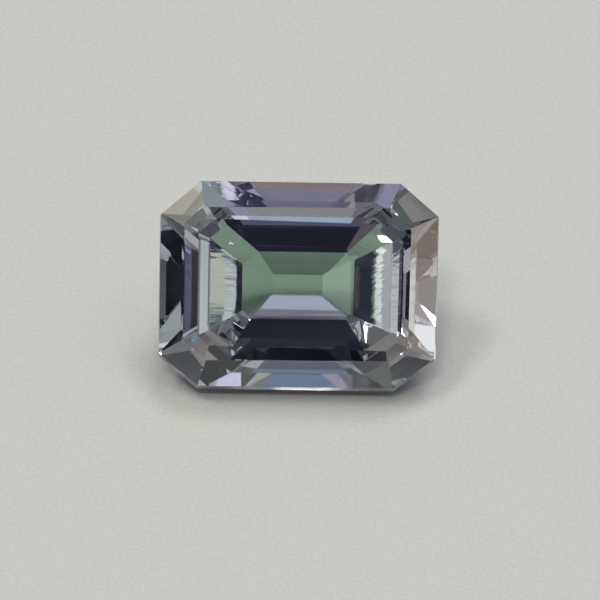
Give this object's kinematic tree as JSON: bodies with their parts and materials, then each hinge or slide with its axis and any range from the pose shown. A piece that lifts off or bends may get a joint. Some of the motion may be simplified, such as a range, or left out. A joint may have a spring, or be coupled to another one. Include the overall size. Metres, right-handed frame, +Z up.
{
  "type": "faceted tanzanite gemstone",
  "caption": "Loose step-cut gemstone with a cut-corner outline, tiered crown and pavilion and a large table, lying on a pavilion facet.",
  "frame": {"origin": "middle of the stone's footprint box, on the surface that it lies on", "axes": "+Z up from the surface, +X along the stone's length, and the table faces up and towards -Y"},
  "size_m": [0.008, 0.0046, 0.0044],
  "materials": {
    "tanzanite_crystal": "polished clear crystal, grey-green through the table with violet and blue flashes, thin frosted girdle"
  },
  "bodies": {
    "root": {"tanzanite": "tanzanite_crystal"}
  },
  "joints": []
}
